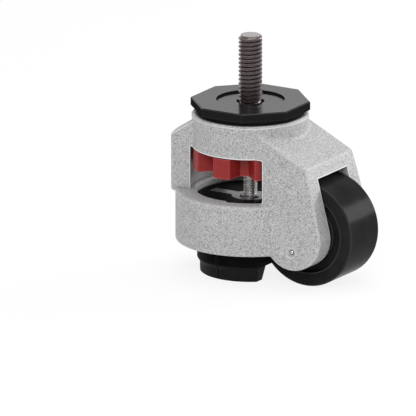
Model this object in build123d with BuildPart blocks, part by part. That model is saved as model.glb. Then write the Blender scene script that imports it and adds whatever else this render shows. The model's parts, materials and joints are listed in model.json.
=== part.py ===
"""Levelling castor: a swivel castor wheel and a screw-down foot in one die-cast housing.

Heights are given above the floor that the wheel and the foot stand on. The origin is on the
swivel axis, in the plane of the octagonal plate's top face; +Z is up, +X is towards the wheel.
"""
import os
from math import cos, hypot, radians, sin, sqrt, tan

from build123d import *

os.makedirs("parts", exist_ok=True)

# ---------------------------------------------------------------- driving dimensions, mm
PLATE_TOP = 103.4          # overall height of the castor under its mounting face
STUD_R = 7.0               # M14 stud
STUD_LENGTH = 39.2         # above the plate's face
WHEEL_R = 31.5
WHEEL_HALF = 15.5
WHEEL_X = 47.0             # swivel offset of the axle
AXLE_R = 6.0
RING_R = 44.0              # lower ring of the housing
BORE_R = 31.7              # its bore, which guides the foot
RING_BOTTOM = 18.9
RING_TOP = 49.3
NECK_R = 34.6              # top of the neck
NECK_TOP = 95.4
WAIST_R = 33.0             # neck just above its flared lip
WAIST = 80.4
LIP_R = 34.2
DECK_BOTTOM = 75.4
DIAL_R = 33.7              # adjusting wheel
DIAL_BOTTOM = 62.7
DIAL_TOP = 74.7
SCREW_R = 4.0              # M8 levelling screw
FOOT_R = 31.3
FOOT_FLANGE = 8.4          # height of the foot's widest edge
FOOT_TOP = 45.5
RUNNING = 0.3              # gap between parts that move past each other


def at(height):
    """Horizontal plane at a height above the floor."""
    return Plane.XY.offset(height - PLATE_TOP)


def rise(height):
    """Z in the model's frame of a height above the floor."""
    return height - PLATE_TOP


def turned(*outline, mode=Mode.ADD):
    """Revolve a closed outline of (radius, height) points about the swivel axis."""
    with BuildSketch(Plane.XZ) as section:
        with BuildLine():
            Polyline(*[(r, rise(h)) for r, h in outline], close=True)
        make_face()
    revolve(section.sketch, axis=Axis.Z, mode=mode)


def disc(radius, low, high, mode=Mode.ADD):
    """Round slab about the swivel axis between two heights."""
    with BuildSketch(at(low)) as section:
        Circle(radius)
    extrude(section.sketch, amount=high - low, mode=mode)


AXLE_LINE = Axis((WHEEL_X, 0, rise(WHEEL_R)), (0, 1, 0))


def on_axle(*outline, mode=Mode.ADD):
    """Revolve a closed outline of (radius, offset along Y) points about the wheel's axle."""
    with BuildSketch(at(WHEEL_R)) as section:
        with BuildLine():
            Polyline(*[(WHEEL_X + r, y) for r, y in outline], close=True)
        make_face()
    revolve(section.sketch, axis=AXLE_LINE, mode=mode)


def cut_bore(radius, low, high):
    disc(radius, low, high, mode=Mode.SUBTRACT)


def meeting_edges(piece, radius_at):
    """Curves, other than circles, that lie on the turned surface with this radius at each height."""
    return piece.edges().filter_by(
        lambda e: e.length > 2.5
        and e.geom_type != GeomType.CIRCLE
        and all(
            abs(hypot(p.X, p.Y) - radius_at(p.Z + PLATE_TOP)) < 0.03
            for p in (e @ 0, e @ 0.3, e @ 0.5, e @ 0.7, e @ 1)
        )
    )


def save(piece, name):
    piece.part.label = name
    export_step(piece.part, f"parts/{name}.step")


# ---------------------------------------------------------------- swivel bearing heights
WEB_BOTTOM = 87.0          # web of the neck that both ball rows run on
WEB_TOP = 90.6
PLATE_THICK = 5.6
PLATE_BOTTOM = PLATE_TOP - PLATE_THICK
UPPER_PITCH = 25.0
UPPER_BALL = 2.4
UPPER_BALLS = 12
UPPER_LINE = 94.2          # height of the ball centres
UPPER_RACE_TOP = 93.0
UPPER_RACE_IN = 20.6
BOSS_BOTTOM = 95.4         # race boss under the plate
WELL_R = 29.6              # neck's upper well, which holds the upper race
LOWER_PITCH = 12.6
LOWER_BALL = 1.5
LOWER_BALLS = 8
LOWER_LINE = 84.5
LOWER_RACE_BOTTOM = 85.4
WEB_HOLE_R = 10.4          # clears the stud's journal
CONE_TOP = 83.6
CONE_BOTTOM = 82.0
CONE_R = 15.4
SLEEVE_R = 17.0            # neck's lower well above the thrust ledge
BALL_PLAY = 0.15           # gap between a ball and its groove

# Levelling nut, held up in the neck by a circlip
LEDGE = 81.1
LEDGE_R = 20.3
THRUST_BOTTOM = 80.1
THRUST_IN = 13.0
FLANGE_TOP = THRUST_BOTTOM - RUNNING
FLANGE_BOTTOM = 78.4
CLIP_TOP = FLANGE_BOTTOM - RUNNING
CLIP_THICK = 1.2
CLIP_R = 21.5
CLIP_IN = 17.6
CLIP_GAP = 9.0

# ---------------------------------------------------------------- housing, one die casting
SPINE_HALF = 20.7
SPINE_FACE = 28.9          # windows start here behind the axis
SPINE_ROOT = 20.0          # it starts here, inside the neck
SPINE_CORNER = 42.2
SPINE_CROWN = 45.2
SPINE_BOTTOM = 46.9
SPINE_ROUND = 2.0
SPINE_SHOULDER = 78.9      # height of the pillar's top at its outer corners
SPINE_TOP = 81.9           # and in its middle
SPINE_CLIMB = 0.64         # rise of the top towards the neck
WINDOW_FRONT_LOW = 25.6    # the windows' front edge leans back a little
WINDOW_FRONT_HIGH = 24.5
CHAMBER_R = 35.2           # clears the adjusting wheel
LOBE_R = 18.6              # rounded end of the cheeks below the axle
LOBE_X = 46.1
LOBE_H = 31.1
LEAN = 14.5                # lean of the cheeks' front edge
SLOT_HALF = 16.7
SLOT_TOP = 66.5
BROW = (53.8, 74.1)        # front edge of the sloped top
SLOPE_HEEL = (14.0, 93.8)  # its upper end, inside the neck
CHEEK_HALF_LOW = 29.6      # half width over the cheeks at the axle
CHEEK_HALF_HIGH = 26.7     # and along the edges of the sloped top
AXLE_END = 25.8
RING_ROUND = 1.6
EDGE_ROUND = 1.2
BROW_ROUND = 3.0
CREASE_ROUND = 3.0
SLOPE_ROUND = 4.0
WINDOW_ROUND = 1.0
RIM_CHAMFER = 1.0
KEEPER_R = 1.7
KEEPER_SINK_R = 2.9        # countersink round each keeper pin's domed end
KEEPER_DEEP = 12.0
KEEPER_X = 45.8
KEEPER_H = 23.2
KEY_START = 2.9            # key groove beside the bore
KEY_END = 24.0
KEY_R = 35.0
KEY_FLOOR = 26.0

fall = (SLOPE_HEEL[1] - BROW[1]) / (BROW[0] - SLOPE_HEEL[0])
ridge_over_axle = BROW[1] + fall * (BROW[0] - WHEEL_X)
draft = (CHEEK_HALF_LOW - CHEEK_HALF_HIGH) / (ridge_over_axle - WHEEL_R)


def cheek_half(x, height):
    """Half width over the cheeks, whose draft is drawn along the sloped top."""
    return CHEEK_HALF_HIGH + draft * (SLOPE_HEEL[1] - fall * (x - SLOPE_HEEL[0]) - height)


lobe_start = LOBE_X - sqrt(LOBE_R**2 - (LOBE_H - RING_BOTTOM) ** 2)
tangent = (LOBE_X + LOBE_R * cos(radians(LEAN)), LOBE_H + LOBE_R * sin(radians(LEAN)))
slot_lip = (tangent[0] - (SLOT_TOP - tangent[1]) * tan(radians(LEAN)), SLOT_TOP)

with BuildPart() as fork:
    with BuildSketch(Plane.XZ):
        with BuildLine():
            Polyline(
                (tangent[0], rise(tangent[1])),
                (slot_lip[0], rise(slot_lip[1])),
                (BROW[0], rise(BROW[1])),
                (SLOPE_HEEL[0], rise(SLOPE_HEEL[1])),
                (SLOPE_HEEL[0], rise(RING_BOTTOM)),
                (lobe_start, rise(RING_BOTTOM)),
            )
            ThreePointArc(
                (lobe_start, rise(RING_BOTTOM)),
                (LOBE_X, rise(LOBE_H - LOBE_R)),
                (tangent[0], rise(tangent[1])),
            )
        make_face()
    extrude(amount=RING_R, both=True)
    fillet(fork.edges().filter_by(Axis.Y).sort_by(lambda e: abs(e.center().X - BROW[0]))[0], BROW_ROUND)
    with BuildSketch(Plane.YZ.offset(SLOPE_HEEL[0])):
        with BuildLine():
            low = cheek_half(SLOPE_HEEL[0], -PLATE_TOP / 2)
            Polyline(
                (-low, rise(-PLATE_TOP / 2)),
                (low, rise(-PLATE_TOP / 2)),
                (CHEEK_HALF_HIGH, rise(SLOPE_HEEL[1])),
                (-CHEEK_HALF_HIGH, rise(SLOPE_HEEL[1])),
                close=True,
            )
        make_face()
    extrude(amount=tangent[0], dir=(1, 0, -fall), mode=Mode.INTERSECT)
    rim = fork.edges().filter_by(lambda e: abs(e.center().Y) > 20).filter_by(
        lambda e: e.center().X > SLOPE_HEEL[0] + 1
    )
    fillet(rim, EDGE_ROUND)

with BuildPart() as spine:
    with BuildSketch(at(SPINE_BOTTOM)):
        with BuildLine():
            Polyline(
                (-SPINE_CORNER, SPINE_HALF),
                (-SPINE_ROOT, SPINE_HALF),
                (-SPINE_ROOT, -SPINE_HALF),
                (-SPINE_CORNER, -SPINE_HALF),
            )
            ThreePointArc((-SPINE_CORNER, -SPINE_HALF), (-SPINE_CROWN, 0), (-SPINE_CORNER, SPINE_HALF))
        make_face()
    extrude(amount=NECK_TOP - SPINE_BOTTOM)
    fillet(spine.edges().filter_by(Axis.Z).sort_by(Axis.X)[:2], SPINE_ROUND)
    # chamfered foot of the pillar
    with BuildSketch(Plane.XZ):
        with BuildLine():
            Polyline(
                (-SPINE_CROWN - 1, rise(SPINE_BOTTOM + 3.5)),
                (-SPINE_CORNER + 1.5, rise(SPINE_BOTTOM)),
                (-SPINE_ROOT, rise(SPINE_BOTTOM)),
                (-SPINE_ROOT, rise(NECK_TOP)),
                (-SPINE_CROWN - 1, rise(NECK_TOP)),
                close=True,
            )
        make_face()
    extrude(amount=SPINE_HALF + 1, both=True, mode=Mode.INTERSECT)
    # crowned top that climbs towards the neck
    with BuildSketch(Plane.YZ.offset(-SPINE_CROWN)):
        with BuildLine():
            shoulder = SPINE_HALF + 0.3
            Polyline(
                (shoulder, rise(SPINE_SHOULDER)),
                (shoulder, rise(0)),
                (-shoulder, rise(0)),
                (-shoulder, rise(SPINE_SHOULDER)),
            )
            ThreePointArc(
                (-shoulder, rise(SPINE_SHOULDER)), (0, rise(SPINE_TOP)), (shoulder, rise(SPINE_SHOULDER))
            )
        make_face()
    extrude(amount=30, dir=(1, 0, SPINE_CLIMB), mode=Mode.INTERSECT)

with BuildPart() as ring:
    disc(RING_R, RING_BOTTOM, RING_TOP)
    fillet(ring.edges().filter_by(GeomType.CIRCLE), RING_ROUND)

with BuildPart() as neck:
    turned(
        (0, DECK_BOTTOM),
        (LIP_R, DECK_BOTTOM),
        (WAIST_R, WAIST),
        (NECK_R, NECK_TOP - 1.0),
        (NECK_R - 1.0, NECK_TOP),
        (0, NECK_TOP),
    )


def neck_radius(height):
    """Radius of the neck between its waist and its top chamfer."""
    return WAIST_R + (NECK_R - WAIST_R) * (height - WAIST) / (NECK_TOP - 1.0 - WAIST)


with BuildPart() as housing:
    add(ring.part)
    add(fork.part)
    # soft creases where the cheeks run into the ring and the sloped top into the neck
    fillet(meeting_edges(housing, lambda height: RING_R), CREASE_ROUND)
    add(neck.part)
    fillet(meeting_edges(housing, neck_radius), SLOPE_ROUND)
    add(spine.part)
    # adjusting wheel's chamber and the two side windows
    cut_bore(CHAMBER_R, RING_TOP, DECK_BOTTOM)
    with BuildSketch(Plane.XZ) as window:
        with BuildLine():
            Polyline(
                (-SPINE_FACE, rise(RING_TOP)),
                (WINDOW_FRONT_LOW, rise(RING_TOP)),
                (WINDOW_FRONT_HIGH, rise(DECK_BOTTOM)),
                (-SPINE_FACE, rise(DECK_BOTTOM)),
                close=True,
            )
        make_face()
        fillet(window.vertices().sort_by(Axis.X)[-2:], WINDOW_ROUND)
    extrude(amount=RING_R + 5, both=True, mode=Mode.SUBTRACT)
    # bore for the foot, its two key grooves and the wheel's pocket
    cut_bore(BORE_R, 0, RING_TOP)
    turned(
        (0, RING_TOP - RIM_CHAMFER),
        (BORE_R, RING_TOP - RIM_CHAMFER),
        (BORE_R + RIM_CHAMFER, RING_TOP),
        (0, RING_TOP),
        mode=Mode.SUBTRACT,
    )
    with BuildSketch(at(KEY_FLOOR)):
        Circle(KEY_R)
        with Locations(((KEY_START + KEY_END) / 2, 0)):
            Rectangle(KEY_END - KEY_START, 2 * KEY_R, mode=Mode.INTERSECT)
    extrude(amount=RING_TOP - KEY_FLOOR, mode=Mode.SUBTRACT)
    with BuildSketch(Plane.XZ):
        pocket_r = SLOT_TOP - WHEEL_R
        with Locations((WHEEL_X, rise(WHEEL_R))):
            Circle(pocket_r)
        with Locations((WHEEL_X + pocket_r / 2, rise(SLOT_TOP / 2))):
            Rectangle(pocket_r, SLOT_TOP)
    extrude(amount=SLOT_HALF, both=True, mode=Mode.SUBTRACT)
    # wells in the neck for the swivel bearing and the levelling nut
    cut_bore(WELL_R, WEB_TOP, NECK_TOP)
    cut_bore(WEB_HOLE_R, WEB_BOTTOM, WEB_TOP)
    cut_bore(SLEEVE_R, LEDGE, WEB_BOTTOM)
    cut_bore(LEDGE_R, DECK_BOTTOM, LEDGE)
    cut_bore(CLIP_R + 0.1, CLIP_TOP - CLIP_THICK, CLIP_TOP)
    # blind axle slots inside the cheeks, open at the bottom, and the keeper pins' holes
    for side in (-1, 1):
        with BuildSketch(Plane.XZ.offset(-side * (SLOT_HALF + AXLE_END + 0.2) / 2)):
            with Locations((WHEEL_X, rise(WHEEL_R))):
                Circle(AXLE_R)
            with Locations((WHEEL_X, rise(WHEEL_R / 2))):
                Rectangle(2 * AXLE_R, WHEEL_R)
        extrude(amount=(AXLE_END + 0.2 - SLOT_HALF) / 2, both=True, mode=Mode.SUBTRACT)
        pin_face = side * cheek_half(KEEPER_X, KEEPER_H)
        with Locations(Plane((KEEPER_X, pin_face, rise(KEEPER_H)), z_dir=(0, side, 0))):
            Cylinder(KEEPER_R, 2 * KEEPER_DEEP, mode=Mode.SUBTRACT)
            Cone(KEEPER_R, 2 * KEEPER_SINK_R - KEEPER_R, 2 * (KEEPER_SINK_R - KEEPER_R), mode=Mode.SUBTRACT)

save(housing, "housing")

# ---------------------------------------------------------------- swivel head
PLATE_CORNER_R = 35.5      # octagon's corner circle
RECESS_R = 20.2
RECESS_DEEP = 1.2
STUD_HOLE_R = 8.3
PLATE_EDGE = 0.6

with BuildPart() as top_plate:
    with BuildSketch(at(PLATE_BOTTOM)):
        RegularPolygon(PLATE_CORNER_R, 8, rotation=22.5)
    extrude(amount=PLATE_THICK)
    rims = top_plate.faces().filter_by(Axis.Z).edges()
    chamfer(rims, PLATE_EDGE)
    cut_bore(RECESS_R, PLATE_TOP - RECESS_DEEP, PLATE_TOP)
    disc(WELL_R - 0.4, BOSS_BOTTOM, PLATE_BOTTOM)
    cut_bore(20.5, BOSS_BOTTOM, PLATE_BOTTOM)
    cut_bore(STUD_HOLE_R, PLATE_BOTTOM, PLATE_TOP)
    with BuildSketch(Plane.XZ):
        with Locations((UPPER_PITCH, rise(UPPER_LINE))):
            Circle(UPPER_BALL + BALL_PLAY)
    revolve(axis=Axis.Z, mode=Mode.SUBTRACT)
save(top_plate, "top_plate")

STUD_TOP = PLATE_TOP + STUD_LENGTH
THREAD_START = PLATE_TOP - RECESS_DEEP
TAIL_BOTTOM = 80.1
CLAMP_CLIP = 1.2           # circlip under the bearing cone
CLAMP_CLIP_R = 10.0
CLAMP_CLIP_GAP = 3.5
JOURNAL_R = 9.0
RELIEF_R = 6.2
CLAMP_R = 16.0             # stud's flange, clamped against the plate
CLAMP_BOTTOM = 95.0
BORE_TOP = 86.5            # top of the blind bore that clears the levelling screw

with BuildPart() as threaded_stud:
    turned(
        (0, BORE_TOP),
        (SCREW_R + 0.6, BORE_TOP),
        (SCREW_R + 0.6, TAIL_BOTTOM),
        (6.6, TAIL_BOTTOM),
        (STUD_R, TAIL_BOTTOM + 0.4),
        (STUD_R, CONE_BOTTOM - CLAMP_CLIP),
        (RELIEF_R, CONE_BOTTOM - CLAMP_CLIP),
        (RELIEF_R, CONE_BOTTOM),
        (STUD_R, CONE_BOTTOM),
        (STUD_R, CONE_TOP),
        (JOURNAL_R, CONE_TOP),
        (JOURNAL_R, CLAMP_BOTTOM),
        (CLAMP_R, CLAMP_BOTTOM),
        (CLAMP_R, PLATE_BOTTOM),
        (RELIEF_R, PLATE_BOTTOM),
        (RELIEF_R, THREAD_START - 0.8),
        (STUD_R, THREAD_START),
        (STUD_R, STUD_TOP - 1.2),
        (STUD_R - 1.2, STUD_TOP),
        (0, STUD_TOP),
    )
save(threaded_stud, "threaded_stud")

SEAL_R = 31.9

with BuildPart() as dust_seal:
    turned(
        (WELL_R - 0.4, NECK_TOP + RUNNING),
        (SEAL_R, NECK_TOP + RUNNING),
        (SEAL_R, PLATE_BOTTOM),
        (WELL_R - 0.4, PLATE_BOTTOM),
    )
save(dust_seal, "dust_seal")

with BuildPart() as upper_race:
    turned(
        (UPPER_RACE_IN, WEB_TOP),
        (WELL_R, WEB_TOP),
        (WELL_R, UPPER_RACE_TOP),
        (UPPER_RACE_IN, UPPER_RACE_TOP),
    )
    with BuildSketch(Plane.XZ):
        with Locations((UPPER_PITCH, rise(UPPER_LINE))):
            Circle(UPPER_BALL + BALL_PLAY)
    revolve(axis=Axis.Z, mode=Mode.SUBTRACT)
save(upper_race, "upper_race")

with BuildPart() as upper_balls:
    with Locations(at(UPPER_LINE)):
        with PolarLocations(UPPER_PITCH, UPPER_BALLS):
            Sphere(UPPER_BALL)
save(upper_balls, "upper_balls")

with BuildPart() as lower_race:
    turned(
        (WEB_HOLE_R, LOWER_RACE_BOTTOM),
        (SLEEVE_R, LOWER_RACE_BOTTOM),
        (SLEEVE_R, WEB_BOTTOM),
        (WEB_HOLE_R, WEB_BOTTOM),
    )
    with BuildSketch(Plane.XZ):
        with Locations((LOWER_PITCH, rise(LOWER_LINE))):
            Circle(LOWER_BALL + BALL_PLAY)
    revolve(axis=Axis.Z, mode=Mode.SUBTRACT)
save(lower_race, "lower_race")

with BuildPart() as lower_balls:
    with Locations(at(LOWER_LINE)):
        with PolarLocations(LOWER_PITCH, LOWER_BALLS):
            Sphere(LOWER_BALL)
save(lower_balls, "lower_balls")

with BuildPart() as bearing_cone:
    turned((STUD_R, CONE_BOTTOM), (CONE_R, CONE_BOTTOM), (CONE_R, CONE_TOP), (STUD_R, CONE_TOP))
    with BuildSketch(Plane.XZ):
        with Locations((LOWER_PITCH, rise(LOWER_LINE))):
            Circle(LOWER_BALL + BALL_PLAY)
    revolve(axis=Axis.Z, mode=Mode.SUBTRACT)
save(bearing_cone, "bearing_cone")

with BuildPart() as stud_circlip:
    with BuildSketch(at(CONE_BOTTOM - CLAMP_CLIP)):
        Circle(CLAMP_CLIP_R)
        Circle(RELIEF_R, mode=Mode.SUBTRACT)
        with Locations((-CLAMP_CLIP_R, 0)):
            Rectangle(2 * (CLAMP_CLIP_R - RELIEF_R + 1), CLAMP_CLIP_GAP, mode=Mode.SUBTRACT)
    extrude(amount=CLAMP_CLIP)
save(stud_circlip, "stud_circlip")

# ---------------------------------------------------------------- levelling drive
DIAL_TEETH = 8
DIAL_VALLEY_R = 23.6
DIAL_HUB_R = 17.5
DIAL_POCKET = 3.6
DIAL_BOSS_R = 13.5
TOOTH_TIP_HALF = 5.7
TOOTH_ROOT_HALF = 6.5
BUSH_R = 10.5
BUSH_FLANGE_R = 19.6
SCREW_TOP = 79.0
THREAD_PLAY = 0.05

with BuildPart() as adjusting_wheel:
    with BuildSketch(at(DIAL_BOTTOM)):
        Circle(DIAL_VALLEY_R)
        with BuildSketch(at(DIAL_BOTTOM), mode=Mode.PRIVATE) as tooth:
            with BuildLine():
                Polyline(
                    (DIAL_HUB_R, TOOTH_ROOT_HALF),
                    (DIAL_VALLEY_R, TOOTH_ROOT_HALF),
                    (DIAL_R, TOOTH_TIP_HALF),
                    (DIAL_R + 1, TOOTH_TIP_HALF),
                    (DIAL_R + 1, -TOOTH_TIP_HALF),
                    (DIAL_R, -TOOTH_TIP_HALF),
                    (DIAL_VALLEY_R, -TOOTH_ROOT_HALF),
                    (DIAL_HUB_R, -TOOTH_ROOT_HALF),
                    close=True,
                )
            make_face()
            Circle(DIAL_R, mode=Mode.INTERSECT)
        with PolarLocations(0, DIAL_TEETH):
            add(tooth.sketch.moved(Location((0, 0, -rise(DIAL_BOTTOM)))))
    extrude(amount=DIAL_TOP - DIAL_BOTTOM)
    upright = adjusting_wheel.edges().filter_by(Axis.Z)
    roots = upright.filter_by(lambda e: hypot(e.center().X, e.center().Y) < DIAL_VALLEY_R + 1)
    tips = upright.filter_by(lambda e: hypot(e.center().X, e.center().Y) > DIAL_R - 1)
    fillet(roots, 1.0)
    fillet(tips, 0.8)
    # shallow pockets round the hub, above and below its web
    cut_bore(DIAL_HUB_R, DIAL_TOP - DIAL_POCKET, DIAL_TOP)
    turned(
        (DIAL_BOSS_R, DIAL_BOTTOM),
        (DIAL_HUB_R, DIAL_BOTTOM),
        (DIAL_HUB_R, DIAL_BOTTOM + DIAL_POCKET),
        (DIAL_BOSS_R, DIAL_BOTTOM + DIAL_POCKET),
        mode=Mode.SUBTRACT,
    )
    cut_bore(BUSH_R, DIAL_BOTTOM, DIAL_TOP)
save(adjusting_wheel, "adjusting_wheel")

with BuildPart() as levelling_nut:
    turned(
        (SCREW_R + THREAD_PLAY, DIAL_BOTTOM),
        (BUSH_R, DIAL_BOTTOM),
        (BUSH_R, FLANGE_BOTTOM),
        (BUSH_FLANGE_R, FLANGE_BOTTOM),
        (BUSH_FLANGE_R, FLANGE_TOP),
        (SCREW_R + THREAD_PLAY, FLANGE_TOP),
    )
save(levelling_nut, "levelling_nut")

with BuildPart() as thrust_washer:
    turned((THRUST_IN, THRUST_BOTTOM), (LEDGE_R, THRUST_BOTTOM), (LEDGE_R, LEDGE), (THRUST_IN, LEDGE))
save(thrust_washer, "thrust_washer")

with BuildPart() as neck_circlip:
    with BuildSketch(at(CLIP_TOP - CLIP_THICK)):
        Circle(CLIP_R + 0.1)
        Circle(CLIP_IN, mode=Mode.SUBTRACT)
        with Locations((-CLIP_R, 0)):
            Rectangle(2 * (CLIP_R - CLIP_IN + 1), CLIP_GAP, mode=Mode.SUBTRACT)
    extrude(amount=CLIP_THICK)
save(neck_circlip, "neck_circlip")

# ---------------------------------------------------------------- foot
CUP_WALL = 3.4
DECK_TOP = 45.0            # top face of the cup, inside its thin rim
DECK_UNDER = 38.0
POCKET_FLOOR = 42.7        # keyhole pocket in the deck, which holds the steel plate
POCKET_R = 11.0
ARM_HALF = 4.2
ARM_LENGTH = 26.0
PLUG_TOP = 12.4            # the pad's spigot inside the cup
SOLE_TOP = 11.4
FOOT_SLOT_HALF = 16.2      # slot that straddles the wheel
FOOT_SLOT_BACK = 13.4
TOE_LOW = 18.1             # front of the sole at the floor
TOE_HIGH = 19.8            # and at the flange
BRIDGE_LEAN = 2.2
HEAD_FLATS = 13.0
HEAD_THICK = 5.4
PLATE_GAUGE = 2.0
COLLAR_R = 6.2             # collar pressed on the screw, which clamps the plate
COLLAR_THICK = 0.9
KEY_BOTTOM = 36.0
TREAD_DEEP = 1.4
TREAD_WIDE = 1.6
TREAD_STEP = 6.0
TREAD_R = 26.0             # the grooves end inside this circle
PAD_R = 29.6
LINE_TURN = 98.2           # upright moulding lines, either side of the front, in degrees
LINE_WIDE = 0.7
LINE_DEEP = 0.5


def cut_side_lines(low, high):
    """Narrow upright grooves down the foot's sides, where the mould's halves meet."""
    with BuildSketch(at(low)) as lines:
        for turn in (-LINE_TURN, LINE_TURN):
            with Locations(Location((0, 0, 0), (0, 0, turn))):
                with Locations((FOOT_R, 0)):
                    Rectangle(2 * (FOOT_R - PAD_R + LINE_DEEP), LINE_WIDE)
    extrude(lines.sketch, amount=high - low, mode=Mode.SUBTRACT)


with BuildPart() as foot_cup:
    with BuildSketch(at(FOOT_FLANGE)) as cup_plan:
        Circle(FOOT_R)
        with Locations((FOOT_SLOT_BACK + FOOT_R / 2, 0)):
            Rectangle(FOOT_R, 2 * FOOT_SLOT_HALF, mode=Mode.SUBTRACT)
    extrude(amount=FOOT_TOP - FOOT_FLANGE)
    chamfer(foot_cup.faces().sort_by(Axis.Z)[-1].edges(), 0.8)
    with BuildSketch(at(DECK_TOP)):
        Circle(FOOT_R - 2.2)
        with Locations((FOOT_SLOT_BACK - 2.2 + FOOT_R / 2, 0)):
            Rectangle(FOOT_R, 2 * FOOT_SLOT_HALF + 4.4, mode=Mode.SUBTRACT)
    extrude(amount=FOOT_TOP - DECK_TOP, mode=Mode.SUBTRACT)
    # guide keys on both sides
    with BuildSketch(at(KEY_BOTTOM)):
        Circle(KEY_R - 0.4)
        Circle(FOOT_R - 1, mode=Mode.SUBTRACT)
        with Locations(((KEY_START + KEY_END) / 2, 0)):
            Rectangle(KEY_END - KEY_START - 0.8, 2 * KEY_R, mode=Mode.INTERSECT)
    extrude(amount=FOOT_TOP - 0.8 - KEY_BOTTOM)
    # hollow underside
    with BuildSketch(at(FOOT_FLANGE)) as cup_inside:
        Circle(FOOT_R - CUP_WALL)
        with Locations((FOOT_SLOT_BACK - CUP_WALL + FOOT_R / 2, 0)):
            Rectangle(FOOT_R, 2 * (FOOT_SLOT_HALF + CUP_WALL), mode=Mode.SUBTRACT)
    extrude(amount=DECK_UNDER - FOOT_FLANGE, mode=Mode.SUBTRACT)
    # keyhole pocket for the steel plate, and the screw's hole
    with BuildSketch(at(POCKET_FLOOR)):
        Circle(POCKET_R)
        with Locations((-ARM_LENGTH / 2, 0)):
            Rectangle(ARM_LENGTH, 2 * ARM_HALF)
    extrude(amount=FOOT_TOP - POCKET_FLOOR, mode=Mode.SUBTRACT)
    cut_bore(SCREW_R, DECK_UNDER, POCKET_FLOOR)
    cut_side_lines(FOOT_FLANGE, RING_BOTTOM + 6)
    # low bridge between the legs, whose front leans back to clear the castor wheel
    with BuildSketch(Plane.XZ):
        with BuildLine():
            Polyline(
                (FOOT_SLOT_BACK - 0.5, rise(FOOT_FLANGE)),
                (TOE_HIGH, rise(FOOT_FLANGE)),
                (TOE_HIGH - BRIDGE_LEAN, rise(SOLE_TOP)),
                (FOOT_SLOT_BACK - 0.5, rise(SOLE_TOP)),
                close=True,
            )
        make_face()
    extrude(amount=FOOT_SLOT_HALF + 0.5, both=True)
    # the sole's front is cut square, up to the top of the flange
    with BuildSketch(Plane.XZ):
        with BuildLine():
            Polyline(
                (TOE_HIGH, rise(FOOT_FLANGE)),
                (TOE_HIGH, rise(SOLE_TOP)),
                (FOOT_R + 1, rise(SOLE_TOP)),
                (FOOT_R + 1, rise(FOOT_FLANGE)),
                close=True,
            )
        make_face()
    extrude(amount=FOOT_R, both=True, mode=Mode.SUBTRACT)
save(foot_cup, "foot_cup")

with BuildPart() as foot_plate:
    with BuildSketch(at(POCKET_FLOOR)):
        Circle(POCKET_R)
        with Locations((-ARM_LENGTH / 2, 0)):
            Rectangle(ARM_LENGTH, 2 * ARM_HALF)
        Circle(SCREW_R, mode=Mode.SUBTRACT)
    extrude(amount=PLATE_GAUGE)
save(foot_plate, "foot_plate")

COLLAR_SEAT = POCKET_FLOOR + PLATE_GAUGE

with BuildPart() as foot_collar:
    turned(
        (SCREW_R, COLLAR_SEAT),
        (COLLAR_R, COLLAR_SEAT),
        (COLLAR_R, COLLAR_SEAT + COLLAR_THICK - 0.3),
        (COLLAR_R - 0.3, COLLAR_SEAT + COLLAR_THICK),
        (SCREW_R, COLLAR_SEAT + COLLAR_THICK),
    )
save(foot_collar, "foot_collar")

with BuildPart() as levelling_screw:
    with BuildSketch(at(DECK_UNDER - HEAD_THICK)):
        RegularPolygon(HEAD_FLATS / 2, 6, major_radius=False)
    extrude(amount=HEAD_THICK)
    disc(SCREW_R, DECK_UNDER, SCREW_TOP)
    chamfer(levelling_screw.faces().sort_by(Axis.Z)[-1].edges(), 0.8)
save(levelling_screw, "levelling_screw")

with BuildPart() as foot_pad:
    turned(
        (0, 0),
        (PAD_R - 0.3, 0),
        (PAD_R, 0.3),
        (PAD_R, 5.6),
        (FOOT_R, FOOT_FLANGE),
        (0, FOOT_FLANGE),
    )
    with BuildSketch(Plane.YZ.offset(3.0)):
        with BuildLine():
            Polyline(
                (-17.0, rise(0)),
                (17.0, rise(0)),
                (15.6, rise(FOOT_FLANGE)),
                (-15.6, rise(FOOT_FLANGE)),
                close=True,
            )
        make_face()
    extrude(amount=FOOT_R, mode=Mode.SUBTRACT)
    with BuildSketch(Plane.XZ):
        with BuildLine():
            Polyline(
                (TOE_LOW, rise(0)),
                (TOE_HIGH, rise(FOOT_FLANGE)),
                (FOOT_R + 1, rise(FOOT_FLANGE)),
                (FOOT_R + 1, rise(0)),
                close=True,
            )
        make_face()
    extrude(amount=FOOT_R, both=True, mode=Mode.SUBTRACT)
    # spigot that closes the cup's underside
    extrude(cup_inside.sketch, amount=PLUG_TOP - FOOT_FLANGE)
    # tread grooves across the sole, inside a plain border
    with BuildSketch(at(0)):
        with Locations(*[(-TREAD_STEP * step, 0) for step in range(5)]):
            Rectangle(TREAD_WIDE, 2 * FOOT_R)
        Circle(TREAD_R, mode=Mode.INTERSECT)
    extrude(amount=TREAD_DEEP, mode=Mode.SUBTRACT)
    cut_side_lines(0, FOOT_FLANGE)
save(foot_pad, "foot_pad")

# ---------------------------------------------------------------- castor wheel on its axle
FACE_RECESS_R = 23.5
FACE_STEP_R = 17.5
WHEEL_ROUND = 0.7
BEARING_OUT_R = 14.0
BEARING_IN = 5.0           # each bearing lies between these offsets from the wheel's middle
BEARING_OUT = 13.0
RACE_IN_R = 8.2
RACE_OUT_R = 11.8
BALL_PITCH = 10.0
BALL_R = 2.3
BALLS = 7

with BuildPart() as wheel:
    half = (
        (9.0, 0),
        (9.0, BEARING_IN),
        (BEARING_OUT_R, BEARING_IN),
        (BEARING_OUT_R, 13.4),
        (FACE_STEP_R, 13.4),
        (FACE_STEP_R + 0.6, 11.6),
        (FACE_RECESS_R - 0.8, 11.6),
        (FACE_RECESS_R, WHEEL_HALF),
        (WHEEL_R - WHEEL_ROUND, WHEEL_HALF),
        (WHEEL_R - WHEEL_ROUND / 3, WHEEL_HALF - WHEEL_ROUND / 3),
        (WHEEL_R, WHEEL_HALF - WHEEL_ROUND),
        (WHEEL_R, 0),
    )
    on_axle(*half)
    on_axle(*[(r, -y) for r, y in half])
save(wheel, "wheel")

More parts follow.
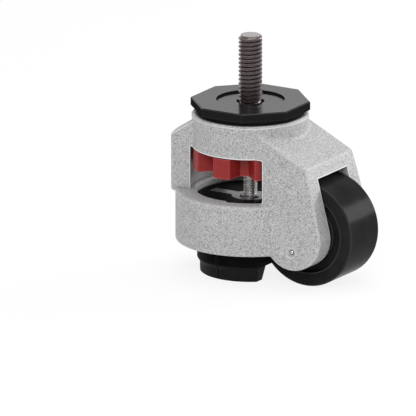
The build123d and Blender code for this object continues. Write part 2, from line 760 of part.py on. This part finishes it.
with BuildPart() as bearing_outer_races:
    for side in (-1, 1):
        on_axle(
            (RACE_OUT_R, side * BEARING_IN),
            (BEARING_OUT_R, side * BEARING_IN),
            (BEARING_OUT_R, side * BEARING_OUT),
            (RACE_OUT_R, side * BEARING_OUT),
        )
        with BuildSketch(at(WHEEL_R)):
            with Locations((WHEEL_X + BALL_PITCH, side * (BEARING_IN + BEARING_OUT) / 2)):
                Circle(BALL_R + BALL_PLAY)
        revolve(axis=AXLE_LINE, mode=Mode.SUBTRACT)
save(bearing_outer_races, "bearing_outer_races")

with BuildPart() as bearing_inner_races:
    for side in (-1, 1):
        on_axle(
            (AXLE_R, side * BEARING_IN),
            (RACE_IN_R, side * BEARING_IN),
            (RACE_IN_R, side * BEARING_OUT),
            (AXLE_R, side * BEARING_OUT),
        )
        with BuildSketch(at(WHEEL_R)):
            with Locations((WHEEL_X + BALL_PITCH, side * (BEARING_IN + BEARING_OUT) / 2)):
                Circle(BALL_R + BALL_PLAY)
        revolve(axis=AXLE_LINE, mode=Mode.SUBTRACT)
save(bearing_inner_races, "bearing_inner_races")

with BuildPart() as bearing_balls:
    for side in (-1, 1):
        middle = -side * (BEARING_IN + BEARING_OUT) / 2
        with Locations(Plane((WHEEL_X, -middle, rise(WHEEL_R)), x_dir=(1, 0, 0), z_dir=(0, -1, 0))):
            with PolarLocations(BALL_PITCH, BALLS):
                Sphere(BALL_R)
save(bearing_balls, "bearing_balls")

with BuildPart() as bearing_spacer:
    on_axle((AXLE_R, -BEARING_IN), (8.0, -BEARING_IN), (8.0, BEARING_IN), (AXLE_R, BEARING_IN))
save(bearing_spacer, "bearing_spacer")

with BuildPart() as axle:
    on_axle(
        (0, -AXLE_END),
        (AXLE_R - 0.5, -AXLE_END),
        (AXLE_R, -AXLE_END + 0.5),
        (AXLE_R, AXLE_END - 0.5),
        (AXLE_R - 0.5, AXLE_END),
        (0, AXLE_END),
    )
save(axle, "axle")

with BuildPart() as side_spacers:
    for side in (-1, 1):
        on_axle(
            (AXLE_R, side * BEARING_OUT),
            (9.0, side * BEARING_OUT),
            (9.0, side * SLOT_HALF),
            (AXLE_R, side * SLOT_HALF),
        )
save(side_spacers, "side_spacers")

with BuildPart() as keeper_pins:
    for side in (-1, 1):
        pin_face = side * cheek_half(KEEPER_X, KEEPER_H)
        with Locations(Plane((KEEPER_X, pin_face, rise(KEEPER_H)), z_dir=(0, side, 0))):
            with Locations((0, 0, -KEEPER_R - 0.2)):
                Sphere(KEEPER_R)
                Cylinder(
                    KEEPER_R, KEEPER_DEEP - KEEPER_R - 0.4, align=(Align.CENTER, Align.CENTER, Align.MAX)
                )
save(keeper_pins, "keeper_pins")
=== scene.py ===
"""Dresses the levelling castor: surface finishes, rolled threads, studio lights and camera."""

import json
from collections import namedtuple
from math import cos, pi, radians, sin

import bmesh
import bpy
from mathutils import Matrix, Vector

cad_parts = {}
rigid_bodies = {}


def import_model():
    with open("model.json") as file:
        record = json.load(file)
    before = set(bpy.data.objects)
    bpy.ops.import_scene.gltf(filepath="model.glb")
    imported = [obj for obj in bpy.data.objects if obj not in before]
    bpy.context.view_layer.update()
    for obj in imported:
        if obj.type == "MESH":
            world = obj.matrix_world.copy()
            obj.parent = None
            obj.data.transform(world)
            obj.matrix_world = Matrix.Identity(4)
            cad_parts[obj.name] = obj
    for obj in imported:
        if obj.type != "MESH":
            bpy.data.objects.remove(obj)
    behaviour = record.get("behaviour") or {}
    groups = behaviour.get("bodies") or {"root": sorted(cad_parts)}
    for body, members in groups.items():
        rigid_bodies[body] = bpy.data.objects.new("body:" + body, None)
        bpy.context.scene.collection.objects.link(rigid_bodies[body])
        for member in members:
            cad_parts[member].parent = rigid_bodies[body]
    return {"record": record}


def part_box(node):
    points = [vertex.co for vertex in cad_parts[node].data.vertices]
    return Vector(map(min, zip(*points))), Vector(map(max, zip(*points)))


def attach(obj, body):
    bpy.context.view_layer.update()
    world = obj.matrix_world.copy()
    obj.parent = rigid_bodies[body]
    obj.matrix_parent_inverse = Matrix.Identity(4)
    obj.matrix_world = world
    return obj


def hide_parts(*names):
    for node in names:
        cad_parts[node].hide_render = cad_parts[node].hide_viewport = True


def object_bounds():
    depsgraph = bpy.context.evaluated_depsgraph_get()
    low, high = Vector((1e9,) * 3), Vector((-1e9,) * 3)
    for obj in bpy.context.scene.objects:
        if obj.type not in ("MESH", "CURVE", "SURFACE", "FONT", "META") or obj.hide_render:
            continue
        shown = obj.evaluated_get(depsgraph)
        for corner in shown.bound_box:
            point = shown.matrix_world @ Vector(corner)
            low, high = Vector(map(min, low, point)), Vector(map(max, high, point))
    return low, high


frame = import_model()
cad_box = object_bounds()
MM = 0.001
WHITE = (1.0, 1.0, 1.0)

# ---------------------------------------------------------------- node helpers
FACTOR, FIRST, SECOND, RESULT = 0, 6, 7, 2  # sockets of a colour mix node
OCCLUSION_SAMPLES, BEVEL_SAMPLES = 8, 6
NOISE_LOW, NOISE_HIGH = 0.3, 0.7  # noise seldom goes past these


class Nodes:
    """A node tree and the operations that the materials and the world share."""

    def __init__(self, tree):
        self.nodes = tree.nodes
        self.links = tree.links

    def add(self, kind, **values):
        node = self.nodes.new(kind)
        for key, value in values.items():
            setattr(node, key, value)
        return node

    def link(self, source, target):
        self.links.new(source, target)

    def mix(self, factor, first, second, blend="MIX"):
        """Colour mix; each value is a socket, a colour or a number."""
        node = self.add("ShaderNodeMix", data_type="RGBA", blend_type=blend)
        for value, index in ((factor, FACTOR), (first, FIRST), (second, SECOND)):
            socket = node.inputs[index]
            if isinstance(value, bpy.types.NodeSocket):
                self.link(value, socket)
            elif isinstance(value, tuple):
                socket.default_value = (*value, 1)
            else:
                socket.default_value = value
        return node.outputs[RESULT]

    def multiply(self, first, second):
        return self.mix(1.0, first, second, "MULTIPLY")

    def seen(self):
        """1 for rays from the camera, also by way of a mirror or through a clear surface."""
        path = self.add("ShaderNodeLightPath")
        total = path.outputs["Is Camera Ray"]
        for kind in ("Is Glossy Ray", "Is Transmission Ray"):
            both = self.add("ShaderNodeMath", operation="ADD", use_clamp=True)
            self.link(total, both.inputs[0])
            self.link(path.outputs[kind], both.inputs[1])
            total = both.outputs["Value"]
        return total


class Finish(Nodes):
    """A new material and the patterns that its colour, roughness and bump are made of."""

    def __init__(self, name):
        self.material = bpy.data.materials.new(name)
        self.material.use_nodes = True
        super().__init__(self.material.node_tree)
        self.shader = self.nodes["Principled BSDF"]
        self.place = self.add("ShaderNodeTexCoord").outputs["Object"]

    def set(self, **values):
        """Uniform values on the shader's own sockets; underscores stand for spaces."""
        for key, value in values.items():
            self.shader.inputs[key.replace("_", " ")].default_value = value

    def colour(self, value):
        self.link(value, self.shader.inputs["Base Color"])

    def roughness(self, value):
        self.link(value, self.shader.inputs["Roughness"])

    def bump(self, height, distance, strength):
        node = self.add("ShaderNodeBump")
        node.inputs["Strength"].default_value = strength
        node.inputs["Distance"].default_value = distance
        self.link(height, node.inputs["Height"])
        self.link(node.outputs["Normal"], self.shader.inputs["Normal"])

    def ramp(self, value, *stops):
        """Colour ramp; each stop is (position, grey or colour)."""
        node = self.add("ShaderNodeValToRGB")
        elements = node.color_ramp.elements
        while len(elements) < len(stops):
            elements.new(0.5)
        for element, (position, tone) in zip(elements, stops):
            element.position = position
            element.color = (*tone, 1) if isinstance(tone, tuple) else (tone, tone, tone, 1)
        self.link(value, node.inputs["Fac"])
        return node.outputs["Color"]

    def noise(self, per_metre, detail, roughness=0.5):
        """Grey noise with about that many grains to a metre."""
        node = self.add("ShaderNodeTexNoise")
        node.inputs["Scale"].default_value = per_metre
        node.inputs["Detail"].default_value = detail
        node.inputs["Roughness"].default_value = roughness
        self.link(self.place, node.inputs["Vector"])
        return node.outputs["Fac"]

    def uneven(self, low, high, per_metre, detail, roughness=0.5):
        """Grey or colour that wanders from low to high with the noise."""
        noise = self.noise(per_metre, detail, roughness)
        return self.ramp(noise, (NOISE_LOW, low), (NOISE_HIGH, high))

    def by_slope(self, *stops):
        """Ramp over how far the surface faces up, which is 0 on walls and 1 on level tops."""
        normal = self.add("ShaderNodeNewGeometry").outputs["Normal"]
        split = self.add("ShaderNodeSeparateXYZ")
        self.link(normal, split.inputs["Vector"])
        return self.ramp(split.outputs["Z"], *stops)

    def edges(self, width, full, start):
        """1 on edges and 0 on flat ground.

        full, start: how far the normal turns within the width, as one minus its cosine.
        """
        normal = self.add("ShaderNodeNewGeometry").outputs["Normal"]
        bevel = self.add("ShaderNodeBevel", samples=BEVEL_SAMPLES)
        bevel.inputs["Radius"].default_value = width
        alike = self.add("ShaderNodeVectorMath", operation="DOT_PRODUCT")
        self.link(bevel.outputs["Normal"], alike.inputs[0])
        self.link(normal, alike.inputs[1])
        return self.ramp(alike.outputs["Value"], (1 - full, 1.0), (1 - start, 0.0))

    def ridges(self, reach, full=0.80, start=0.975):
        """1 on convex edges and rounds within the reach, and 0 on flat and hollow ground."""
        node = self.add("ShaderNodeAmbientOcclusion", samples=OCCLUSION_SAMPLES)
        node.inside, node.only_local = True, True
        node.inputs["Distance"].default_value = reach
        return self.ramp(node.outputs["AO"], (full, 1.0), (start, 0.0))

    def hollows(self, reach, dark, deep=0.25, open_from=0.85):
        """1 in the open, falling to dark in gaps and corners narrower than the reach."""
        node = self.add("ShaderNodeAmbientOcclusion", samples=OCCLUSION_SAMPLES)
        node.inputs["Distance"].default_value = reach
        return self.ramp(node.outputs["AO"], (deep, dark), (open_from, 1.0))


# ---------------------------------------------------------------- finishes
def hammer_coat():
    """Speckled silver-grey coat on the die casting: grain, clouds, painted edge highlights and
    painted shade in gaps.
    """
    speck_shade, edge_highlight = (0.72, 0.72, 0.72), (0.71, 0.70, 0.69)
    f = Finish("hammer_coat")
    f.set(Metallic=0.0, Specular_IOR_Level=0.35)
    grain = f.noise(1200, detail=3.0, roughness=0.65)
    grain = f.ramp(grain, (0.30, 0.13), (0.43, 0.40), (0.54, 0.50), (0.72, 0.69))
    clouds = f.ramp(f.noise(120, detail=2.0), (0.35, 0.97), (0.65, 1.02))
    plain = f.ramp(f.noise(1500, detail=1.0), (0.36, 0.0), (0.46, 1.0))
    tone = f.multiply(grain, clouds)
    tone = f.mix(plain, f.multiply(tone, speck_shade), tone)
    # painted highlight: paler colour on convex edges and rounds
    tone = f.mix(f.ridges(0.7 * MM, full=0.93, start=0.985), tone, edge_highlight)
    # painted shade: darker in gaps, corners and countersinks narrower than about 2 mm
    f.colour(f.multiply(tone, f.hollows(2.0 * MM, dark=0.15, deep=0.1, open_from=0.72)))
    f.roughness(f.uneven(0.44, 0.62, 900, detail=2.0))
    f.bump(f.noise(760, detail=3.0, roughness=0.6), distance=0.10 * MM, strength=0.55)
    return f.material


def black_paint():
    """Gloss black on the plate's flat faces, duller on its sheared sides, with a painted
    highlight on the rim.
    """
    dark, light = (0.0045, 0.0045, 0.0048), (0.008, 0.008, 0.0084)
    side, edge_highlight = (0.014, 0.014, 0.0145), (0.034, 0.034, 0.035)
    wall, level = 0.3, 0.8
    f = Finish("black_paint")
    f.link(f.by_slope((wall, 0.0), (level, 0.25)), f.shader.inputs["Specular IOR Level"])
    top = f.uneven(dark, light, 90, detail=3.0)
    tone = f.mix(f.by_slope((wall, 1.0), (level, 0.0)), top, side)
    # painted highlight: paler colour on the rim and other convex edges
    f.colour(f.mix(f.ridges(0.5 * MM), tone, edge_highlight))
    f.roughness(f.uneven(0.13, 0.21, 260, detail=4.0, roughness=0.6))
    f.bump(f.noise(1400, detail=2.0), distance=0.02 * MM, strength=0.35)
    return f.material


def stud_steel():
    """Dark, faintly brown rolled steel with painted highlights on its crests and an end face of
    bare cut steel lightened further as painted top light.
    """
    dark, light = (0.075, 0.058, 0.058), (0.135, 0.108, 0.107)
    cut_end_and_top_light, crest = (0.34, 0.325, 0.325), (0.50, 0.47, 0.46)
    f = Finish("stud_steel")
    f.set(Metallic=0.9)
    tone = f.uneven(dark, light, 260, detail=4.0, roughness=0.6)
    # the up-facing end face: bare cut steel, made lighter still as painted top light
    tone = f.mix(f.by_slope((0.93, 0.0), (0.97, 1.0)), tone, cut_end_and_top_light)
    # painted highlight: bright colour on the thread crests and other edges
    f.colour(f.mix(f.edges(0.25 * MM, full=0.3, start=0.02), tone, crest))
    f.roughness(f.uneven(0.25, 0.36, 900, detail=3.0))
    f.bump(f.noise(1800, detail=2.0), distance=0.03 * MM, strength=0.5)
    return f.material


def steel(name, tone, rough):
    """Bare or plated steel, a little uneven in tone and polish."""
    dark = tuple(channel * 0.75 for channel in tone)
    f = Finish(name)
    f.set(Metallic=1.0)
    f.colour(f.uneven(dark, tone, 500, detail=4.0, roughness=0.6))
    f.roughness(f.uneven(rough - 0.08, rough + 0.10, 800, detail=3.0, roughness=0.6))
    f.bump(f.noise(1500, detail=2.0), distance=0.02 * MM, strength=0.4)
    return f.material


def red_nylon():
    """Satin red moulding, with a painted highlight on its edges and painted shade between the
    teeth and under the lip.
    """
    dark, light, edge = (0.25, 0.015, 0.015), (0.30, 0.020, 0.020), (0.42, 0.060, 0.058)
    f = Finish("red_nylon")
    f.set(Specular_IOR_Level=0.3)
    # painted highlight: paler red on edges and rounds
    tone = f.mix(f.ridges(0.6 * MM), f.uneven(dark, light, 120, detail=3.0), edge)
    # painted shade: darker between the teeth, under the lip and in other narrow gaps
    f.colour(f.multiply(tone, f.hollows(3.0 * MM, dark=0.25)))
    f.roughness(f.uneven(0.38, 0.52, 900, detail=3.0))
    f.bump(f.noise(1200, detail=3.0), distance=0.03 * MM, strength=0.5)
    return f.material


def black_nylon(name, tone, rough, grain, shine):
    """Moulded black plastic with a fine spark-eroded grain and a painted highlight on its
    edges.
    """
    dark, light, edge = tone * 0.8, tone * 1.25, (tone * 3, tone * 3, tone * 3.1)
    f = Finish(name)
    f.set(Specular_IOR_Level=shine)
    body = f.uneven(dark, light, 70, detail=2.0)
    # painted highlight: paler colour on convex edges and rounds
    f.colour(f.mix(f.ridges(0.8 * MM, full=0.86), body, edge))
    f.roughness(f.uneven(rough - 0.06, rough + 0.06, grain, detail=3.0))
    f.bump(f.noise(grain, detail=3.0), distance=0.03 * MM, strength=0.5)
    return f.material


def black_rubber():
    """Dull black rubber of the foot's sole."""
    f = Finish("black_rubber")
    f.set(Specular_IOR_Level=0.1)
    f.colour(f.uneven(0.005, 0.009, 300, detail=4.0))
    f.roughness(f.uneven(0.52, 0.68, 500, detail=3.0))
    f.bump(f.noise(1300, detail=3.0), distance=0.05 * MM, strength=0.6)
    return f.material


FINISHES = {
    "housing": hammer_coat(),
    "black_metal": black_paint(),
    "stud_steel": stud_steel(),
    "bearing_steel": steel("bearing_steel", tone=(0.62, 0.62, 0.63), rough=0.16),
    "plain_steel": steel("plain_steel", tone=(0.34, 0.34, 0.34), rough=0.42),
    "pin_steel": steel("pin_steel", tone=(0.50, 0.53, 0.58), rough=0.14),
    "screw_steel": steel("screw_steel", tone=(1.0, 0.98, 0.97), rough=0.44),
    "red_plastic": red_nylon(),
    "black_plastic": black_nylon(
        "black_plastic", tone=0.005, rough=0.5, grain=1100, shine=0.015
    ),
    "wheel_plastic": black_nylon(
        "wheel_plastic", tone=0.018, rough=0.20, grain=900, shine=0.012
    ),
    "black_rubber": black_rubber(),
}
OWN_FINISH = {"keeper_pins": "pin_steel"}  # nodes that differ from the rest of their slot
for row in frame["record"]["subparts"]:
    node = bpy.data.objects[row["node"]]
    node.data.materials.clear()
    node.data.materials.append(FINISHES[OWN_FINISH.get(row["node"], row["material_slot"])])

# ---------------------------------------------------------------- rolled threads
STEPS = 72  # corners around a rod, and columns in one turn of a thread
# one pitch of a thread, as shares of the pitch and of the depth below the crest
PROFILE = ((0.0, 0.0), (0.16, 0.0), (0.42, 1.0), (0.60, 1.0), (0.88, 0.0))
SPARE_TURNS = 3  # one below the start, one for the part turn and one to run out
HEX = "hexagon"
WELD, SLIVER = 0.01 * MM, 0.005 * MM
SHARP = radians(30)
# low and high are its ends, and tip is the radius at the end of its 45-degree chamfer
Thread = namedtuple("Thread", "low high crest depth pitch tip")


def threaded_rod(name, below, thread, above):
    """Mesh of a rod about Z with a right-hand thread on its middle stretch.

    below, above: outlines of its plain ends from bottom to top, as (radius, height), or as
    (half width, height, HEX) where it is hexagonal.
    """
    bm = bmesh.new()
    root = thread.crest - thread.depth

    def ring(half, height, shape=None):
        corners = []
        for step in range(STEPS):
            angle = 2 * pi * step / STEPS
            radius = half / cos(angle % (pi / 3) - pi / 6) if shape == HEX else half
            corners.append(bm.verts.new((radius * cos(angle), radius * sin(angle), height)))
        return corners

    def stack(rings):
        for lower, upper in zip(rings, rings[1:]):
            for step in range(STEPS):
                after = (step + 1) % STEPS
                bm.faces.new((lower[step], lower[after], upper[after], upper[step]))

    def column(step):
        """The profile at one step along the helix, held between the thread's ends."""
        angle = 2 * pi * step / STEPS
        points = []
        for share, sunk in PROFILE:
            height = thread.low + thread.pitch * (step / STEPS + share - 1)
            radius = min(
                thread.crest - thread.depth * sunk,
                thread.tip + max(thread.high - height, 0),
                root + max(height - thread.low, 0),
            )
            height = min(max(height, thread.low), thread.high)
            points.append(bm.verts.new((radius * cos(angle), radius * sin(angle), height)))
        return points

    stack([ring(*station) for station in below] + [ring(root, thread.low)])
    stack([ring(thread.tip, thread.high)] + [ring(*station) for station in above])

    turns = int((thread.high - thread.low) / thread.pitch) + SPARE_TURNS
    columns = [column(step) for step in range(turns * STEPS + 1)]
    for step, (here, there) in enumerate(zip(columns, columns[1:])):
        for low in range(len(PROFILE) - 1):
            bm.faces.new((here[low], there[low], there[low + 1], here[low + 1]))
        if step + 1 + STEPS < len(columns):
            over, beyond = columns[step + STEPS], columns[step + 1 + STEPS]
            bm.faces.new((here[-1], there[-1], beyond[0], over[0]))

    bmesh.ops.remove_doubles(bm, verts=bm.verts, dist=WELD)
    bmesh.ops.dissolve_degenerate(bm, dist=SLIVER, edges=bm.edges)
    bmesh.ops.recalc_face_normals(bm, faces=bm.faces)
    for face in bm.faces:
        face.smooth = True
    for edge in bm.edges:
        edge.smooth = len(edge.link_faces) == 2 and edge.calc_face_angle() < SHARP
    data = bpy.data.meshes.new(name)
    bm.to_mesh(data)
    bm.free()
    return data


def add_piece(data, body, slot, replaced, finish=None):
    """Links a mesh as a piece that rides on a body and stands for a CAD node."""
    piece = bpy.data.objects.new(data.name, data)
    bpy.context.scene.collection.objects.link(piece)
    data.materials.append(FINISHES[finish or slot])
    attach(piece, body)
    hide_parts(replaced)


stud_low, stud_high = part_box("threaded_stud")
# the stud's radii, then its heights below the plate's face
BORE, TAIL, CREST, RELIEF, JOURNAL, FLANGE = (r * MM for r in (4.6, 6.6, 7.0, 6.2, 9.0, 16.0))
BORE_TOP, GROOVE_LOW, GROOVE_TOP = (z * MM for z in (-16.9, -22.6, -21.4))
SHOULDER, FLANGE_LOW, FLANGE_TOP, THREAD_LOW = (z * MM for z in (-19.8, -8.4, -5.6, -2.0))
TAIL_CHAMFER, STUD_END = 0.4 * MM, 5.2 * MM
add_piece(
    threaded_rod(
        "stud_with_thread",
        (
            (0, BORE_TOP),
            (BORE, BORE_TOP),
            (BORE, stud_low.z),
            (TAIL, stud_low.z),
            (CREST, stud_low.z + TAIL_CHAMFER),
            (CREST, GROOVE_LOW),
            (RELIEF, GROOVE_LOW),
            (RELIEF, GROOVE_TOP),
            (CREST, GROOVE_TOP),
            (CREST, SHOULDER),
            (JOURNAL, SHOULDER),
            (JOURNAL, FLANGE_LOW),
            (FLANGE, FLANGE_LOW),
            (FLANGE, FLANGE_TOP),
            (RELIEF, FLANGE_TOP),
            (RELIEF, THREAD_LOW),
        ),
        Thread(THREAD_LOW, stud_high.z, CREST, depth=1.25 * MM, pitch=2.5 * MM, tip=5.7 * MM),
        ((STUD_END, stud_high.z), (0, stud_high.z)),
    ),
    "swivel_head",
    "stud_steel",
    "threaded_stud",
)

screw_low, screw_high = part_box("levelling_screw")
HEAD_HALF, HEAD_THICK, HEAD_ROUND, HEAD_CHAMFER = (s * MM for s in (6.5, 5.4, 0.6, 0.5))
SCREW, SHANK, SCREW_END = 4.0 * MM, 3.0 * MM, 2.8 * MM
head_top = screw_low.z + HEAD_THICK
add_piece(
    threaded_rod(
        "screw_with_thread",
        (
            (0, screw_low.z),
            (HEAD_HALF - HEAD_ROUND, screw_low.z),
            (HEAD_HALF, screw_low.z + HEAD_CHAMFER, HEX),
            (HEAD_HALF, head_top, HEX),
            (SCREW, head_top),
            (SCREW, head_top + SHANK),
        ),
        Thread(
            head_top + SHANK, screw_high.z, SCREW, depth=0.8 * MM, pitch=1.5 * MM, tip=3.2 * MM
        ),
        ((SCREW_END, screw_high.z), (0, screw_high.z)),
    ),
    "foot",
    "plain_steel",
    "levelling_screw",
    "screw_steel",
)

# ---------------------------------------------------------------- floor and world
FLOOR_SIZE, FLOOR_GAP = 12, 0.05 * MM
FLOOR_GREY, WORLD_GREY = (0.95, 0.95, 0.95), (0.44, 0.44, 0.444)
FLOOR_GLOW = 0.85  # how much of what is seen of the floor is plain white, free of shadow


def studio_floor():
    """White with a soft shadow to the camera, and a plain pale grey to all other rays."""
    f = Finish("floor")
    f.set(Roughness=0.9, Specular_IOR_Level=0.1)
    seen = f.seen()
    f.colour(f.mix(seen, FLOOR_GREY, WHITE))
    share = f.add("ShaderNodeMath", operation="MULTIPLY")
    share.inputs[1].default_value = FLOOR_GLOW
    f.link(seen, share.inputs[0])
    blend = f.add("ShaderNodeMixShader")
    f.link(share.outputs["Value"], blend.inputs[0])
    f.link(f.shader.outputs["BSDF"], blend.inputs[1])
    f.link(f.add("ShaderNodeEmission").outputs["Emission"], blend.inputs[2])
    f.link(blend.outputs["Shader"], f.nodes["Material Output"].inputs["Surface"])
    return f.material


bpy.ops.mesh.primitive_plane_add(size=FLOOR_SIZE, location=(0, 0, cad_box[0].z - FLOOR_GAP))
floor = bpy.context.object
floor.name = "floor"
floor.data.materials.append(studio_floor())

world = bpy.data.worlds.new("studio")
bpy.context.scene.world = world
world.use_nodes = True
sky = Nodes(world.node_tree)
sky.link(sky.mix(sky.seen(), WORLD_GREY, WHITE), sky.nodes["Background"].inputs["Color"])

# ---------------------------------------------------------------- lights and camera
AZIMUTH, ELEVATION = radians(31), radians(15.5)
front = Vector((sin(AZIMUTH), -cos(AZIMUTH), 0))
right = Vector((cos(AZIMUTH), sin(AZIMUTH), 0))
to_camera = Vector(
    (cos(ELEVATION) * sin(AZIMUTH), -cos(ELEVATION) * cos(AZIMUTH), sin(ELEVATION))
)
up = to_camera.cross(right)
middle = (cad_box[0] + cad_box[1]) / 2


def softbox(name, across, height, depth, size, watts):
    """Area lamp aimed at the object, from metres to its right, above it and in front of it."""
    place = middle + right * across + Vector((0, 0, height)) + front * depth
    data = bpy.data.lights.new(name, "AREA")
    data.shape = "RECTANGLE"
    data.size, data.size_y = size
    data.energy = watts
    lamp = bpy.data.objects.new(name, data)
    bpy.context.scene.collection.objects.link(lamp)
    lamp.location = place
    lamp.rotation_mode = "QUATERNION"
    lamp.rotation_quaternion = (place - middle).to_track_quat("Z", "Y")


softbox("top", across=0.1, height=1.3, depth=-0.2, size=(1.0, 1.0), watts=7.5)
softbox("front", across=-0.25, height=0.80, depth=1.2, size=(0.9, 0.45), watts=7.8)
softbox("side", across=1.25, height=0.34, depth=-0.65, size=(0.5, 0.45), watts=11.0)

VIEW_WIDTH, VIEW_RIGHT, VIEW_UP = 244 * MM, -24.87 * MM, -64.04 * MM
CAMERA_DISTANCE, CLIP_START, CLIP_END = 3.0, 0.05, 50
target = right * VIEW_RIGHT + up * VIEW_UP + to_camera * middle.dot(to_camera)
camera = bpy.data.objects.new("camera", bpy.data.cameras.new("camera"))
bpy.context.scene.collection.objects.link(camera)
camera.data.type = "ORTHO"
camera.data.ortho_scale = VIEW_WIDTH
camera.data.clip_start, camera.data.clip_end = CLIP_START, CLIP_END
camera.location = target + to_camera * CAMERA_DISTANCE
camera.rotation_mode = "QUATERNION"
camera.rotation_quaternion = to_camera.to_track_quat("Z", "Y")
bpy.context.scene.camera = camera
bpy.context.scene.view_settings.view_transform = "Standard"
